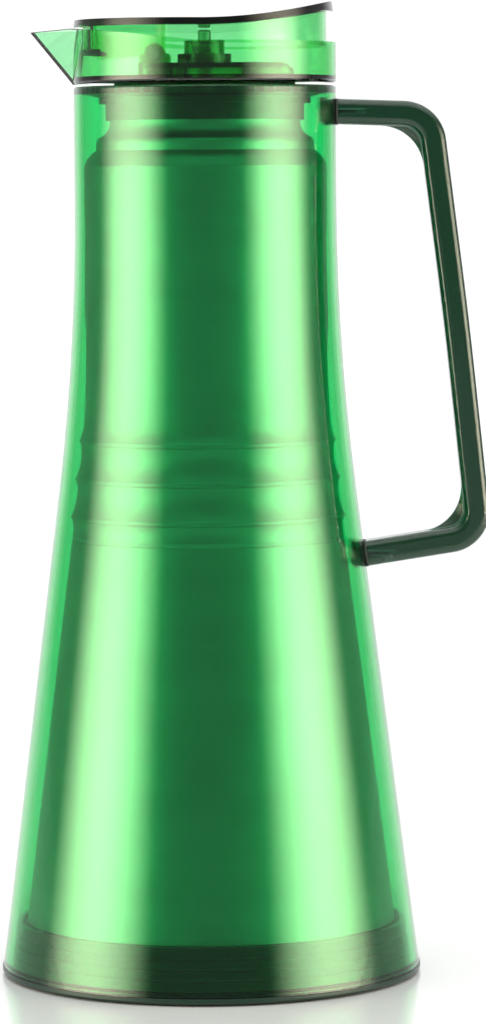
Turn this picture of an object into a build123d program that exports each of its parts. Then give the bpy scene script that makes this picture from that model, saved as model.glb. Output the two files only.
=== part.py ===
from build123d import *
from dataclasses import dataclass
import math
import os

# Large insulated water jug. Millimetres. The jug stands on Z = 0 about the Z axis,
# the spout points to -X and the handle to +X.

# Shell: a cone that one large arc turns upright below the neck
base_radius = 64.9
neck_radius = 40.3
rim_height = 273.6
neck_drop = 79.4          # from the rim down to where cone and neck would meet
neck_curve = 716.0
shell_wall = 2.4
rim_rounding = 0.8

# Base: a screwed-in cup, its gasket, its foot pad and the cushion under the liner
flange_thickness = 1.8
foot_clearance = 0.6      # from the table to the base flange
flange_rounding = 0.7
base_wall = 1.6
base_cup_height = 17.0
cup_clearance = 0.15
grip_ring_count = 3
grip_ring_depth = 0.5
grip_ring_width = 1.0
gasket_groove = 1.2       # depth of the groove that holds the base gasket
gasket_height = 1.6
foot_pad_inset = 6.9      # from the base's edge
foot_pad_height = 1.4
cushion_gap = 0.1
cushion_width = 9.6

# Vacuum liner
liner_inset = 5.7         # from the shell's outside to the liner's outside
liner_neck_gap = 0.6      # between shell and liner at the neck
liner_curve = 278.0
steel_wall = 0.6
vacuum_gap = 3.0
shoulder_drop = 24.3      # from the rim down to the liner's shoulder
shoulder_slant = 4.9      # rise from the liner's body to the step
shoulder_bulge = 0.4
step_width = 4.2          # from the liner's neck out to the step
step_upright = 2.2
step_nose_width = 1.4
step_nose_rise = 1.9
neck_sweep = 4.2          # rise from the step's nose to the upright neck
neck_sweep_bend = (0.7, 1.8)
lip_drop = 3.6            # from the rim down to the top of the outer wall's neck
lip_thickness = 0.5
lip_width = 2.0
rib_count = 3
rib_drop = 7.3            # from the height where cone and neck would meet to the top rib
rib_spacing = 11.65
rib_height = 1.15
rib_nose = 0.9
rib_flank = 0.77          # height of a rib where its nose begins
top_rib_rise = 0.14
seam_depth = 0.3
seam_drop = 1.5           # from the ribs down to the seam
inner_corner_radius = 6.0
bottom_gap = 4.4          # from the bottom pan up to the inner wall's floor
pan_recess = 2.0
pan_rim = 7.0
plug_radius = 5.0
plug_stem_radius = 1.5
plug_thickness = 1.2
getter_radius = 7.0
getter_thickness = 2.0
getter_offset = 25.0

# Neck collar, with the inner thread that the stopper screws into
collar_plate = 2.3
collar_inset = 15.9       # from the shell's outside in to the collar's bore
collar_sleeve_wall = 2.5
collar_sleeve_length = 15.6
sleeve_clearance = 0.4
collar_skirt_gap = 0.1
collar_skirt_wall = 1.1
collar_skirt_length = 10.3
collar_flange_width = 2.0
collar_flange_length = 5.2
collar_chamfer = (1.5, 1.0)
thread_lead = 12.0
thread_starts = 4
thread_turn = 60.0        # degrees that each ridge covers
thread_reach = 1.2
thread_root = 0.6         # half the height of a ridge at its root
thread_crest = 0.35
thread_bite = 0.4         # how far a ridge is rooted in its wall
collar_thread_drop = 9.0  # from the rim down to where the collar's ridges start

# Handle
bar_thickness = 7.8
bar_width = 12.0
bar_rounding = 2.4
handle_drop = 5.1         # from the rim down to the top of the upper arm
handle_length = 129.5     # between the bar's two corners
handle_reach_top = 28.7   # from the shell out to the middle of the bar
handle_reach_bottom = 35.9
upper_arm_slope = 2.1     # degrees, falling outwards
lower_arm_slope = 8.7     # degrees, rising outwards
upper_corner_radius = 9.5
lower_corner_radius = 9.0
grip_bow = 0.7
bow_radius = 1500.0
web_radius = 13.5
web_thickness = 9.0
web_edge_thickness = 1.4
web_flare = 0.6           # how fast each side of a web thickens towards the bar
handle_gasket = 0.8
handle_gasket_margin = 0.15
tenon_radius = 2.6
tenon_depth = 0.5
tenon_clearance = 0.1
anchor_width = 11.0
upper_anchor_depth = 2.9
lower_anchor_depth = 2.1
anchor_margin = 0.4
anchor_chamfer = 1.6
anchor_clearance = 0.3    # from the collar
screw_radius = 1.1
screw_head_radius = 2.1
screw_head_height = 0.9
screw_length = 12.0

# Lid: pour ring, stopper and deck
lid_gap = 0.8
ring_overhang = 0.1
ring_wall = 1.8
ring_floor = 2.2
ring_height = 12.3
ring_rounding = 1.1
ring_slope_start = -2.5   # X where the ring's top starts to rise to the spout
ring_slope = 0.12
spout_reach = 13.0
spout_half_width = 12.0
spout_tip_drop = 0.8
spout_wall_shift = (1.3, 0.0, 0.55)
pour_hole_inset = 5.8     # from the stopper's bore
stopper_clearance = 1.6   # from the collar's bore to the stopper's wall
stopper_wall = 2.0
stopper_length = 20.9
stopper_floor = 2.0
seat_radius = 9.0
stopper_boss_radius = 2.8
stopper_boss_length = 9.0
gasket_fit = 0.05
lid_gasket_width = 3.4    # past the collar's bore
deck_front_inset = 0.8    # from the stopper's bore
deck_side_inset = 1.3
deck_rear_inset = 11.6    # from the pour ring's bore
deck_rounding = 5.0
deck_height = 3.9
deck_wall = 1.6
deck_mouth_half_width = 9.0
deck_rear_chamfer = 2.6
screw_inset = 2.4         # from the stopper's bore to the screws' circle
screw_angles = (40.0, 115.0, -115.0, -40.0)
deck_screw_length = 14.0
screw_hole_clearance = 0.1

# Pivot, cap and its seal
pivot_x = -15.1
pivot_height = 9.0        # above the foot of the pour ring
pivot_radius = 1.5
pivot_clearance = 0.05
ear_gap = 9.4
ear_thickness = 2.8
ear_radius = 3.2
ear_half_length = 4.6
cap_draft = 0.145         # how much the cap's edge leans in for each mm it rises
cap_thickness = 2.2
cap_gap = 0.45            # over the front of the pour ring
cap_dip = 0.5
cap_rear_rise = 6.2
tab_underside_rise = 2.7  # thumb edge's underside over the plate's middle
skirt_clearance = 1.1
skirt_wall = 1.5
front_skirt_depth = 4.0   # along X
front_skirt_drop = 9.1
rear_skirt_start = -14.0
rear_skirt_drop = 7.0
rear_skirt_fall = 1.1
seal_height = 1.4
lug_thickness = 2.0
lug_gap = 0.3
lug_radius = 2.6
lug_half_length = 3.0
web_foot_drop = 12.0

# Plunger, its spring and the valve under the stopper
housing_bore = 4.7
housing_radius = 6.2
housing_height = 7.1
housing_foot_radius = 8.3
housing_foot = 3.0
stem_radius = 2.0
stem_clearance = 0.1
plunger_top_gap = 0.3
plunger_top_rounding = 0.8
plunger_flange_radius = 4.4
plunger_flange_thickness = 1.0
spring_length = 5.9
spring_radius = 3.3
spring_wire = 0.35
spring_turns = 4.0
valve_radius = 11.5
valve_thickness = 2.2
seal_inner = 9.6
seal_outer = 11.3
seal_thickness = 0.9
seal_gap = 0.1
clip_groove_radius = 1.5
clip_radius = 3.6
clip_thickness = 0.8
stem_tail = 1.6


@dataclass(frozen=True)
class Flank:
    """A side wall in section: a cone that one arc turns upright."""

    foot: float
    neck: float
    taper: float
    curve: float

    @property
    def meeting(self):
        """Height where the cone would meet the upright neck."""
        return (self.foot - self.neck) / math.tan(self.taper)

    @property
    def arc_top(self):
        return self.meeting + self.curve * math.tan(self.taper / 2)

    @property
    def arc_bottom(self):
        return self.arc_top - self.curve * math.sin(self.taper)

    def inset(self, depth):
        """The parallel wall that lies a depth further in."""
        foot = self.foot - depth / math.cos(self.taper)
        return Flank(foot, self.neck - depth, self.taper, self.curve + depth)

    def radius(self, height):
        if height >= self.arc_top:
            return self.neck
        if height <= self.arc_bottom:
            return self.foot - height * math.tan(self.taper)
        return self.neck + self.curve - math.sqrt(self.curve**2 - (self.arc_top - height) ** 2)

    def point(self, height):
        return (self.radius(height), height)

    def edges(self, low, high):
        """The wall's line between two heights, from low to high."""
        breaks = [h for h in (self.arc_bottom, self.arc_top) if low < h < high]
        stops = [low] + breaks + [high]
        spans = []
        for start, end in zip(stops, stops[1:]):
            middle = (start + end) / 2
            if self.arc_bottom < middle < self.arc_top:
                spans.append(ThreePointArc(self.point(start), self.point(middle), self.point(end)))
            else:
                spans.append(Line(self.point(start), self.point(end)))
        return spans


# Sizes that follow from the driving ones
taper = math.atan((base_radius - neck_radius) / (rim_height - neck_drop))
shell_side = Flank(base_radius, neck_radius, taper, neck_curve)
shell_inside = shell_side.inset(shell_wall)
shell_foot = foot_clearance + flange_thickness
base_floor_top = foot_pad_height + base_wall
cup_side = shell_inside.inset(cup_clearance)
liner_side = Flank(
    base_radius - liner_inset / math.cos(taper), shell_inside.neck - liner_neck_gap, taper, liner_curve
)
liner_foot = base_cup_height
lip_height = rim_height - lip_drop
pan_floor = liner_foot + pan_recess
water_side = liner_side.inset(steel_wall + vacuum_gap)
water_floor = pan_floor + steel_wall + bottom_gap
collar_plate_foot = rim_height - collar_plate
collar_bore = neck_radius - collar_inset
collar_sleeve = collar_bore + collar_sleeve_wall
neck_passage_radius = collar_sleeve + sleeve_clearance
liner_neck_radius = neck_passage_radius + lip_width
step_radius = liner_neck_radius + step_width
collar_skirt_bore = liner_neck_radius + collar_skirt_gap
collar_skirt = collar_skirt_bore + collar_skirt_wall
collar_flange = collar_skirt + collar_flange_width
ring_foot = rim_height + lid_gap
ring_radius = neck_radius + ring_overhang
ring_bore = ring_radius - ring_wall
floor_top = ring_foot + ring_floor
deck_top = floor_top + deck_height
stopper_radius = collar_bore - stopper_clearance
stopper_bore = stopper_radius - stopper_wall
stopper_foot = ring_foot - stopper_length
screw_circle = stopper_bore - screw_inset
deck_front = deck_front_inset - stopper_bore
deck_rear = ring_bore - deck_rear_inset
deck_half_width = stopper_bore - deck_side_inset
pivot_z = ring_foot + pivot_height
ring_top = ring_foot + ring_height
ring_front_top = ring_top + ring_slope * (ring_slope_start + ring_radius)
cap_front_top = ring_front_top + cap_gap + cap_thickness
cap_middle_top = cap_front_top - cap_dip
cap_underside = cap_middle_top - cap_thickness
cap_radius = ring_radius
skirt_radius = ring_bore - skirt_clearance
front_skirt_end = front_skirt_depth - skirt_radius
lug_outer = ear_gap - lug_gap
upper_corner = (neck_radius + handle_reach_top, rim_height - handle_drop - bar_thickness / 2)
lower_corner_height = upper_corner[1] - handle_length
lower_corner = (shell_side.radius(lower_corner_height) + handle_reach_bottom, lower_corner_height)
FAR = 400.0               # longer than any part, for cutting tools
PAST = 1.0                # how far a cutting tool reaches past a face


def turned(*corners):
    """Solid turned about +Z from the (radius, height) corners of its section."""
    return revolve(Plane.XZ * make_face(Polyline(*corners, close=True)), Axis.Z)


def turned_outline(edges):
    """Solid turned about +Z from the edges of its section."""
    return revolve(Plane.XZ * make_face(edges), Axis.Z)


def tube(inner, outer, low, high):
    return turned((inner, low), (outer, low), (outer, high), (inner, high))


def disc(radius, low, high):
    return Pos(0, 0, (low + high) / 2) * Cylinder(radius, high - low)


def block(x, y, z):
    """Box between a pair of limits along each axis."""
    centre = Pos(sum(x) / 2, sum(y) / 2, sum(z) / 2)
    return centre * Box(x[1] - x[0], y[1] - y[0], z[1] - z[0])


def slab(half_width, *corners):
    """Plate of an outline in the XZ plane, to both sides of the plane of symmetry."""
    return extrude(Plane.XZ * make_face(Polyline(*corners, close=True)), half_width, both=True)


def rod(radius, start, end, height):
    """Cylinder along X at a height."""
    return Pos((start + end) / 2, 0, height) * Rot(0, 90, 0) * Cylinder(radius, end - start)


def cross_rod(radius, half_length, x, z):
    """Cylinder along Y."""
    return Pos(x, 0, z) * Rot(90, 0, 0) * Cylinder(radius, 2 * half_length)


def mirrored(part):
    """A part and its mirror image across the plane of symmetry, in one."""
    return part + part.mirror(Plane.XZ)


def filled(side, low, high):
    """Everything inside a flank between two heights."""
    closing = Polyline(side.point(high), (0, high), (0, low), side.point(low))
    return turned_outline(side.edges(low, high) + closing.edges())


# ---------------------------------------------------------------- jug body


def arm_height(x, corner, slope):
    """Height of an arm's middle line at x, from its outer corner."""
    return corner[1] + (corner[0] - x) * math.tan(math.radians(slope))


def arm_roots():
    """Where the middle line of each arm meets the shell: (x, height) of upper and lower."""
    upper = arm_height(neck_radius, upper_corner, upper_arm_slope)
    lower = lower_corner[1]
    for _ in range(6):
        lower = arm_height(shell_side.radius(lower), lower_corner, -lower_arm_slope)
    return (shell_side.radius(upper), upper), (shell_side.radius(lower), lower)


def outer_shell():
    outer = shell_side.edges(shell_foot, rim_height - rim_rounding)
    rim = CenterArc((neck_radius - rim_rounding, rim_height - rim_rounding), rim_rounding, 0, 90)
    top = Line((neck_radius - rim_rounding, rim_height), shell_inside.point(rim_height))
    bottom = Line(shell_inside.point(shell_foot), shell_side.point(shell_foot))
    shell = turned_outline(outer + [rim, top] + shell_inside.edges(shell_foot, rim_height) + [bottom])
    for x, height in arm_roots():
        shell -= rod(tenon_radius + tenon_clearance, x - bar_width, x + bar_width, height)
    return shell


def base_cap():
    flange_edge = base_radius - flange_rounding
    flange = turned(
        (0, foot_clearance),
        (flange_edge, foot_clearance),
        (base_radius, foot_clearance + flange_rounding),
        (base_radius, shell_foot),
        (0, shell_foot),
    )
    cup = filled(cup_side, shell_foot, base_cup_height)
    hollow = filled(cup_side.inset(base_wall), base_floor_top, base_cup_height + PAST)
    groove = tube(shell_inside.radius(shell_foot) - gasket_groove, FAR, shell_foot, shell_foot + gasket_height)
    cap = flange + (cup - groove) - hollow - foot_pad()
    pitch = (base_cup_height - shell_foot - gasket_height) / (grip_ring_count + 1)
    for number in range(grip_ring_count):
        middle = shell_foot + gasket_height + pitch * (number + 1)
        ring = middle - grip_ring_width / 2
        cut = cup_side.radius(middle) - grip_ring_depth
        cap -= tube(cut, FAR, ring, ring + grip_ring_width)
    return cap


def base_gasket():
    inner = shell_inside.radius(shell_foot) - gasket_groove
    return filled(shell_inside, shell_foot, shell_foot + gasket_height) - disc(inner, 0, FAR)


def foot_pad():
    return disc(base_radius - foot_pad_inset, 0, foot_pad_height)


def liner_cushion():
    outer = cup_side.inset(base_wall).radius(liner_foot) - cushion_gap
    return tube(outer - cushion_width, outer, base_floor_top, liner_foot)


def rib_edges(low, high):
    """The liner's side between two heights, with scalloped ribs that stand out of it."""
    top_rib = liner_side.meeting - rib_drop
    tips = [top_rib - rib_spacing * number for number in reversed(range(rib_count))]
    edges = []
    here = liner_side.point(low)
    for tip in tips:
        nose = liner_side.radius(tip) + rib_height
        flank = liner_side.radius(tip) + rib_flank
        below = (flank, tip - rib_nose)
        above = (flank, tip + rib_nose)
        hollow = (here[1] + below[1]) / 2
        edges.append(ThreePointArc(here, (liner_side.radius(hollow), hollow), below))
        edges.append(ThreePointArc(below, (nose, tip), above))
        here = above
    hollow = (here[1] + high) / 2
    middle = (liner_side.radius(hollow) + top_rib_rise, hollow)
    edges.append(ThreePointArc(here, middle, liner_side.point(high)))
    return edges


def shoulder_edges(body, step, neck, top, depth):
    """The liner's stepped shoulder, from the body's radius in to the neck and up to top."""
    foot = rim_height - shoulder_drop - depth / 2
    step_foot = foot + shoulder_slant
    step_top = step_foot + step_upright
    nose_top = step_top + step_nose_rise
    a = (body - depth, foot)
    b = (step - depth, step_foot)
    c = (step - depth, step_top)
    d = (step - step_nose_width - depth, nose_top)
    e = (neck - depth, nose_top + neck_sweep)
    slant = ThreePointArc(a, ((a[0] + b[0]) / 2 + shoulder_bulge, (a[1] + b[1]) / 2 + shoulder_bulge), b)
    nose = ThreePointArc(c, (c[0] - shoulder_bulge, (c[1] + d[1]) / 2 + shoulder_bulge / 2), d)
    sweep_in = ThreePointArc(d, (e[0] + neck_sweep_bend[0], d[1] + neck_sweep_bend[1]), e)
    return [slant, Line(b, c), nose, sweep_in, Line(e, (neck - depth, top))]


def liner_outer_wall():
    rib_zone_top = liner_side.meeting - rib_drop + rib_spacing / 2
    rib_zone_foot = rib_zone_top - rib_spacing * rib_count
    seam = rib_zone_foot - seam_drop
    shoulder = rim_height - shoulder_drop
    outside = liner_side.edges(liner_foot, seam)
    inner_seam = (liner_side.radius(seam) - seam_depth, seam + seam_depth)
    outside += Polyline(liner_side.point(seam), inner_seam, liner_side.point(rib_zone_foot)).edges()
    outside += rib_edges(rib_zone_foot, rib_zone_top)
    outside += liner_side.edges(rib_zone_top, shoulder)
    outside += shoulder_edges(liner_side.neck, step_radius, liner_neck_radius, lip_height, 0)
    inside_side = liner_side.inset(steel_wall)
    inside = inside_side.edges(liner_foot, shoulder - steel_wall / 2)
    inside += shoulder_edges(liner_side.neck, step_radius, liner_neck_radius, lip_height, steel_wall)
    lip = Line((liner_neck_radius, lip_height), (liner_neck_radius - steel_wall, lip_height))
    foot = Line(inside_side.point(liner_foot), liner_side.point(liner_foot))
    return turned_outline(outside + [lip] + inside + [foot])


def cup_outline(side, floor, corner, neck, top):
    """A closed-bottomed liner wall's side, turned solid."""
    wall = floor + corner
    bend = 1 - math.sqrt(0.5)
    start = (side.radius(wall) - corner, floor)
    bend_middle = (side.radius(wall) - corner * bend, floor + corner * bend)
    shoulder = rim_height - shoulder_drop - vacuum_gap
    neck_foot = (neck, shoulder + side.neck - neck)
    bulge = (side.neck - neck) * math.sqrt(0.5)
    shoulder_middle = (neck + bulge, shoulder + bulge)
    edges = [Line((0, floor), start), ThreePointArc(start, bend_middle, side.point(wall))]
    edges += side.edges(wall, shoulder)
    edges += [ThreePointArc(side.point(shoulder), shoulder_middle, neck_foot)]
    edges += Polyline(neck_foot, (neck, top), (0, top), (0, floor)).edges()
    return turned_outline(edges)


def liner_inner_wall():
    neck = neck_passage_radius
    top = lip_height + lip_thickness
    outer = cup_outline(water_side, water_floor, inner_corner_radius, neck + lip_thickness, top)
    inner_side = water_side.inset(lip_thickness)
    inner_corner = inner_corner_radius - lip_thickness
    inner = cup_outline(inner_side, water_floor + lip_thickness, inner_corner, neck, top + PAST)
    return outer + tube(neck, liner_neck_radius, lip_height, top) - inner


def liner_base_plate():
    pan = filled(liner_side.inset(steel_wall), liner_foot, liner_foot + pan_rim)
    recess = filled(liner_side.inset(2 * steel_wall), liner_foot - PAST, pan_floor)
    hollow = filled(liner_side.inset(2 * steel_wall), pan_floor + steel_wall, liner_foot + pan_rim + PAST)
    return pan - recess - hollow - disc(plug_stem_radius, 0, FAR)


def vacuum_plug():
    stem = disc(plug_stem_radius, pan_floor - plug_thickness, pan_floor + steel_wall)
    return disc(plug_radius, pan_floor - plug_thickness, pan_floor) + stem


def getter():
    seat = pan_floor + steel_wall
    return Pos(getter_offset, 0, 0) * disc(getter_radius, seat, seat + getter_thickness)


def thread_ridges(wall_radius, reach, foot):
    """Ridges of a coarse thread on a wall; a negative reach points them inwards."""
    inward = -1 if reach < 0 else 1
    root = wall_radius - inward * thread_bite
    crest = wall_radius + reach
    rise = thread_lead * thread_turn / 360
    path = Helix(pitch=thread_lead, height=rise, radius=wall_radius, center=(0, 0, foot))
    section = Polyline(
        (root, foot - thread_root),
        (crest, foot - thread_crest),
        (crest, foot + thread_crest),
        (root, foot + thread_root),
        close=True,
    )
    ridge = sweep(Plane.XZ * make_face(section), path=path, is_frenet=True)
    step = 360 / thread_starts
    return [Rot(0, 0, step * number) * ridge for number in range(thread_starts)]


def neck_collar():
    plate = tube(collar_bore, shell_inside.neck, collar_plate_foot, rim_height)
    sleeve = tube(collar_bore, collar_sleeve, rim_height - collar_sleeve_length, rim_height)
    skirt = tube(collar_skirt_bore, collar_skirt, rim_height - collar_skirt_length, rim_height)
    flange_foot = rim_height - collar_flange_length
    flange = turned(
        (collar_skirt_bore, flange_foot),
        (collar_flange, flange_foot),
        (collar_flange, collar_plate_foot - collar_chamfer[1]),
        (shell_inside.neck - collar_chamfer[0], collar_plate_foot),
        (collar_skirt_bore, collar_plate_foot),
    )
    collar = plate + sleeve + skirt + flange
    for ridge in thread_ridges(collar_bore, -thread_reach, rim_height - collar_thread_drop):
        collar += ridge
    return collar


def neck_gasket():
    return tube(neck_passage_radius, liner_neck_radius, lip_height + lip_thickness, collar_plate_foot)


# ------------------------------------------------------------------ handle


def unit(start, end):
    """Direction from one (x, z) point to another."""
    reach = math.dist(start, end)
    return ((end[0] - start[0]) / reach, (end[1] - start[1]) / reach)


def shifted(point, direction, distance):
    return (point[0] + direction[0] * distance, point[1] + direction[1] * distance)


def corner_web(corner, first, second):
    """Crescent that fills the inside of a corner of the bar, thinnest along its free edge."""
    along = [unit(corner, first), unit(corner, second)]
    cosine = along[0][0] * along[1][0] + along[0][1] * along[1][1]
    half = math.acos(cosine) / 2
    inwards = unit((0, 0), (along[0][0] + along[1][0], along[0][1] + along[1][1]))
    meet = shifted(corner, inwards, bar_thickness / 2 / math.sin(half))
    reach = web_radius / math.tan(half)
    ends = [shifted(meet, direction, reach) for direction in along]
    middle = shifted(meet, inwards, web_radius / math.sin(half) - web_radius)
    depth = reach + bar_thickness / 2 / math.tan(half)
    roots = [shifted(corner, direction, depth) for direction in along]
    outline = [ThreePointArc(ends[0], middle, ends[1])]
    outline += Polyline(ends[1], roots[1], corner, roots[0], ends[0]).edges()
    web = extrude(Plane.XZ * make_face(outline), web_thickness / 2, both=True)
    x, z = shifted(meet, inwards, web_radius / math.sin(half))
    edge = web_edge_thickness / 2
    wide = edge + web_flare * FAR
    rim = web_radius
    dish = turned((rim, -edge), (rim + FAR, -wide), (rim + FAR, wide), (rim, edge))
    return web & (Pos(x, 0, z) * Rot(90, 0, 0) * dish)


def handle():
    upper_start = shell_inside.neck
    lower_start = shell_inside.radius(lower_corner[1])
    upper_root = (upper_start, arm_height(upper_start, upper_corner, upper_arm_slope))
    lower_root = (lower_start, arm_height(lower_start, lower_corner, -lower_arm_slope))
    grip_middle = ((upper_corner[0] + lower_corner[0]) / 2 + grip_bow, (upper_corner[1] + lower_corner[1]) / 2)
    corners = [upper_root, upper_corner, grip_middle, lower_corner, lower_root]
    route = [Vector(x, 0, z) for x, z in corners]
    path = FilletPolyline(*route, radius=[upper_corner_radius, bow_radius, lower_corner_radius])
    start = Plane(origin=path @ 0, x_dir=(0, 1, 0), z_dir=path % 0)
    section = start * RectangleRounded(bar_width, bar_thickness, bar_rounding)
    bar = sweep(section, path=path)
    bar += corner_web(upper_corner, upper_root, grip_middle)
    bar += corner_web(lower_corner, lower_root, grip_middle)
    bar -= filled(shell_side.inset(-handle_gasket), 0, rim_height + bar_thickness)
    for x, height in arm_roots():
        inner = shell_inside.radius(height) - tenon_depth
        bar += rod(tenon_radius, inner, x + bar_thickness / 2, height)
        bar -= rod(screw_radius, inner - PAST, inner + screw_length, height)
    return bar


def handle_gasket_at(x, height):
    """Soft ring between the end of an arm and the shell."""
    pad = RectangleRounded(
        bar_width + 2 * handle_gasket_margin, bar_thickness + 2 * handle_gasket_margin, bar_rounding
    )
    plane = Plane(origin=(x - bar_thickness / 2, 0, height), x_dir=(0, 1, 0), z_dir=(1, 0, 0))
    ring = extrude(plane * pad, bar_thickness)
    ring = ring & filled(shell_side.inset(-handle_gasket), 0, rim_height + bar_thickness)
    ring -= filled(shell_side, 0, rim_height + bar_thickness)
    return ring - rod(tenon_radius, x - bar_width, x + bar_width, height)


def handle_anchor(height, depth):
    """Plate inside the shell that an arm is screwed to, with a sloped lower edge."""
    wall = shell_inside.radius(height)
    half = bar_thickness / 2 + anchor_margin
    plate = slab(
        anchor_width / 2,
        (wall + shell_wall, height - half),
        (wall - anchor_chamfer / 2, height - half),
        (wall - depth, height - half + anchor_chamfer),
        (wall - depth, height + half),
        (wall + shell_wall, height + half),
    )
    plate = plate & filled(shell_inside, 0, rim_height)
    plate -= disc(collar_flange + anchor_clearance, rim_height - collar_flange_length - anchor_clearance, FAR)
    plate -= rod(tenon_radius, wall - tenon_depth, wall + shell_wall, height)
    return plate - handle_screw(height, depth)


def handle_screw(height, depth):
    """Countersunk screw from inside the shell out into an arm."""
    head = shell_inside.radius(height) - depth
    cone = Pos(head + screw_head_height / 2, 0, height) * Rot(0, 90, 0)
    cone = cone * Cone(screw_head_radius, screw_radius, screw_head_height)
    return cone + rod(screw_radius, head + screw_head_height / 2, head + screw_length, height)


def handle_screws():
    upper, lower = arm_roots()
    screws = [handle_screw(upper[1], upper_anchor_depth), handle_screw(lower[1], lower_anchor_depth)]
    return Compound([screw.solid() for screw in screws])


# --------------------------------------------------------------------- lid


def spout_wedge():
    """Solid beak: a pointed V that widens towards the ring."""
    tip = Vector(-ring_radius - spout_reach, 0, ring_front_top - spout_tip_drop)
    chord = math.sqrt(ring_radius**2 - spout_half_width**2)
    widening = spout_half_width / (ring_radius + spout_reach - chord)
    keel_slope = (tip.Z - ring_foot) / spout_reach
    rise = spout_tip_drop / spout_reach
    root = -ring_bore + ring_wall
    run = root - tip.X
    right = Vector(root, run * widening, tip.Z + run * rise)
    left = Vector(root, -run * widening, tip.Z + run * rise)
    keel = Vector(root, 0, tip.Z - run * keel_slope)
    corners = [(tip, right, left), (tip, keel, right), (tip, left, keel), (right, keel, left)]
    return Solid(Shell([Face(Wire.make_polygon(corner, close=True)) for corner in corners]))


def pour_ring():
    outline = [
        Line((0, ring_foot), (ring_radius - ring_rounding, ring_foot)),
        CenterArc((ring_radius - ring_rounding, ring_foot + ring_rounding), ring_rounding, -90, 90),
    ]
    start = (ring_radius, ring_foot + ring_rounding)
    high = ring_front_top + ring_height
    outline += Polyline(start, (ring_radius, high), (0, high), (0, ring_foot)).edges()
    wedge = spout_wedge()
    ring = turned_outline(outline) + wedge - block((-FAR, FAR), (-FAR, FAR), (0, ring_foot))
    ring -= disc(ring_bore, floor_top, high + PAST)
    ring -= Pos(*spout_wall_shift) * wedge
    tip_x = -ring_radius - spout_reach
    ring -= slab(
        FAR,
        (FAR, ring_top),
        (ring_slope_start, ring_top),
        (-ring_radius, ring_front_top),
        (tip_x, ring_front_top - spout_tip_drop),
        (2 * tip_x, ring_front_top - spout_tip_drop),
        (2 * tip_x, FAR),
        (FAR, FAR),
    )
    ring -= disc(stopper_bore - pour_hole_inset, 0, FAR)
    for x, y in deck_screw_places():
        ring -= Pos(x, y, 0) * disc(screw_radius + screw_hole_clearance, 0, FAR)
    return ring


def deck_screw_places():
    turns = [math.radians(angle) for angle in screw_angles]
    return [(screw_circle * math.cos(turn), screw_circle * math.sin(turn)) for turn in turns]


def stopper():
    body = tube(stopper_bore, stopper_radius, stopper_foot, ring_foot)
    body += tube(seat_radius, stopper_bore + stopper_wall / 2, stopper_foot, stopper_foot + stopper_floor)
    boss_foot = ring_foot - stopper_boss_length
    for x, y in deck_screw_places():
        body += Pos(x, y, 0) * disc(stopper_boss_radius, boss_foot, ring_foot)
    reach = thread_reach
    start = rim_height - collar_thread_drop + thread_lead / thread_starts / 2
    for ridge in thread_ridges(stopper_radius, reach, start):
        body += ridge
    for screw in deck_screws().solids():
        body -= screw
    return body


def lid_gasket():
    inner = stopper_radius + gasket_fit
    return tube(inner, collar_bore + lid_gasket_width, rim_height + gasket_fit, ring_foot - gasket_fit)


def deck():
    outline = Pos((deck_front + deck_rear) / 2, 0, floor_top)
    outline = outline * RectangleRounded(deck_rear - deck_front, 2 * deck_half_width, deck_rounding)
    tray = extrude(outline, deck_height)
    inner = Pos((deck_front + deck_rear) / 2, 0, floor_top)
    length = deck_rear - deck_front - 2 * deck_wall
    width = 2 * (deck_half_width - deck_wall)
    inner = inner * RectangleRounded(length, width, deck_rounding - deck_wall)
    tray -= extrude(inner, deck_height - deck_wall)
    mouth = (-deck_mouth_half_width, deck_mouth_half_width)
    tray -= block((deck_front - PAST, deck_front + 2 * deck_wall), mouth, (floor_top, deck_top - deck_wall))
    chamfer_start = deck_rear - deck_rear_chamfer
    chamfer_foot = (deck_rear, floor_top + deck_wall)
    tray -= slab(FAR, (chamfer_start, deck_top), chamfer_foot, (FAR, floor_top), (FAR, deck_top))
    for x, y in deck_screw_places():
        tray += Pos(x, y, 0) * disc(stopper_boss_radius, floor_top, deck_top)
    tray += mirrored(pivot_ear())
    tray -= disc(stem_radius + stem_clearance, 0, FAR)
    tray -= cross_rod(pivot_radius, ear_gap + ear_thickness + PAST, pivot_x, pivot_z)
    for screw in deck_screws().solids():
        tray -= screw
    return tray


def pivot_ear():
    """Upright ear on the deck that holds one end of the pivot pin."""
    along = (pivot_x - ear_half_length, pivot_x + ear_half_length)
    foot = block(along, (0, ear_thickness), (floor_top, pivot_z))
    head = Pos(pivot_x, ear_thickness / 2, pivot_z) * Rot(90, 0, 0) * Cylinder(ear_radius, ear_thickness)
    return Pos(0, ear_gap, 0) * (foot + head)


def deck_screws():
    """Countersunk screws through deck and ring floor into the stopper."""
    head_foot = deck_top - screw_head_height
    cone = Pos(0, 0, head_foot + screw_head_height / 2) * Cone(screw_radius, screw_head_radius, screw_head_height)
    screw = cone + disc(screw_radius, deck_top - deck_screw_length, head_foot + screw_head_height / 2)
    screws = [Pos(x, y, 0) * screw for x, y in deck_screw_places()]
    return Compound([each.solid() for each in screws])


def spring_housing():
    sleeve = tube(housing_bore, housing_radius, deck_top, deck_top + housing_height)
    return sleeve + tube(housing_bore, housing_foot_radius, deck_top, deck_top + housing_foot)


def pivot_pin():
    return cross_rod(pivot_radius, ear_gap + ear_thickness, pivot_x, pivot_z)


def cap_profile(drop):
    """Side view of the cap's top, lowered by a drop: nearly level, then rising to the thumb edge."""
    reach = cap_radius + PAST
    front = (-reach, cap_front_top - drop)
    middle = (0, cap_middle_top - drop)
    rise = cap_rear_rise * (reach / cap_radius) ** 2
    rear = (reach, middle[1] + rise)
    bend = (reach / 2, middle[1] + rise / 4)
    return [Line(front, middle), ThreePointArc(middle, bend, rear)], front, rear


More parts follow.
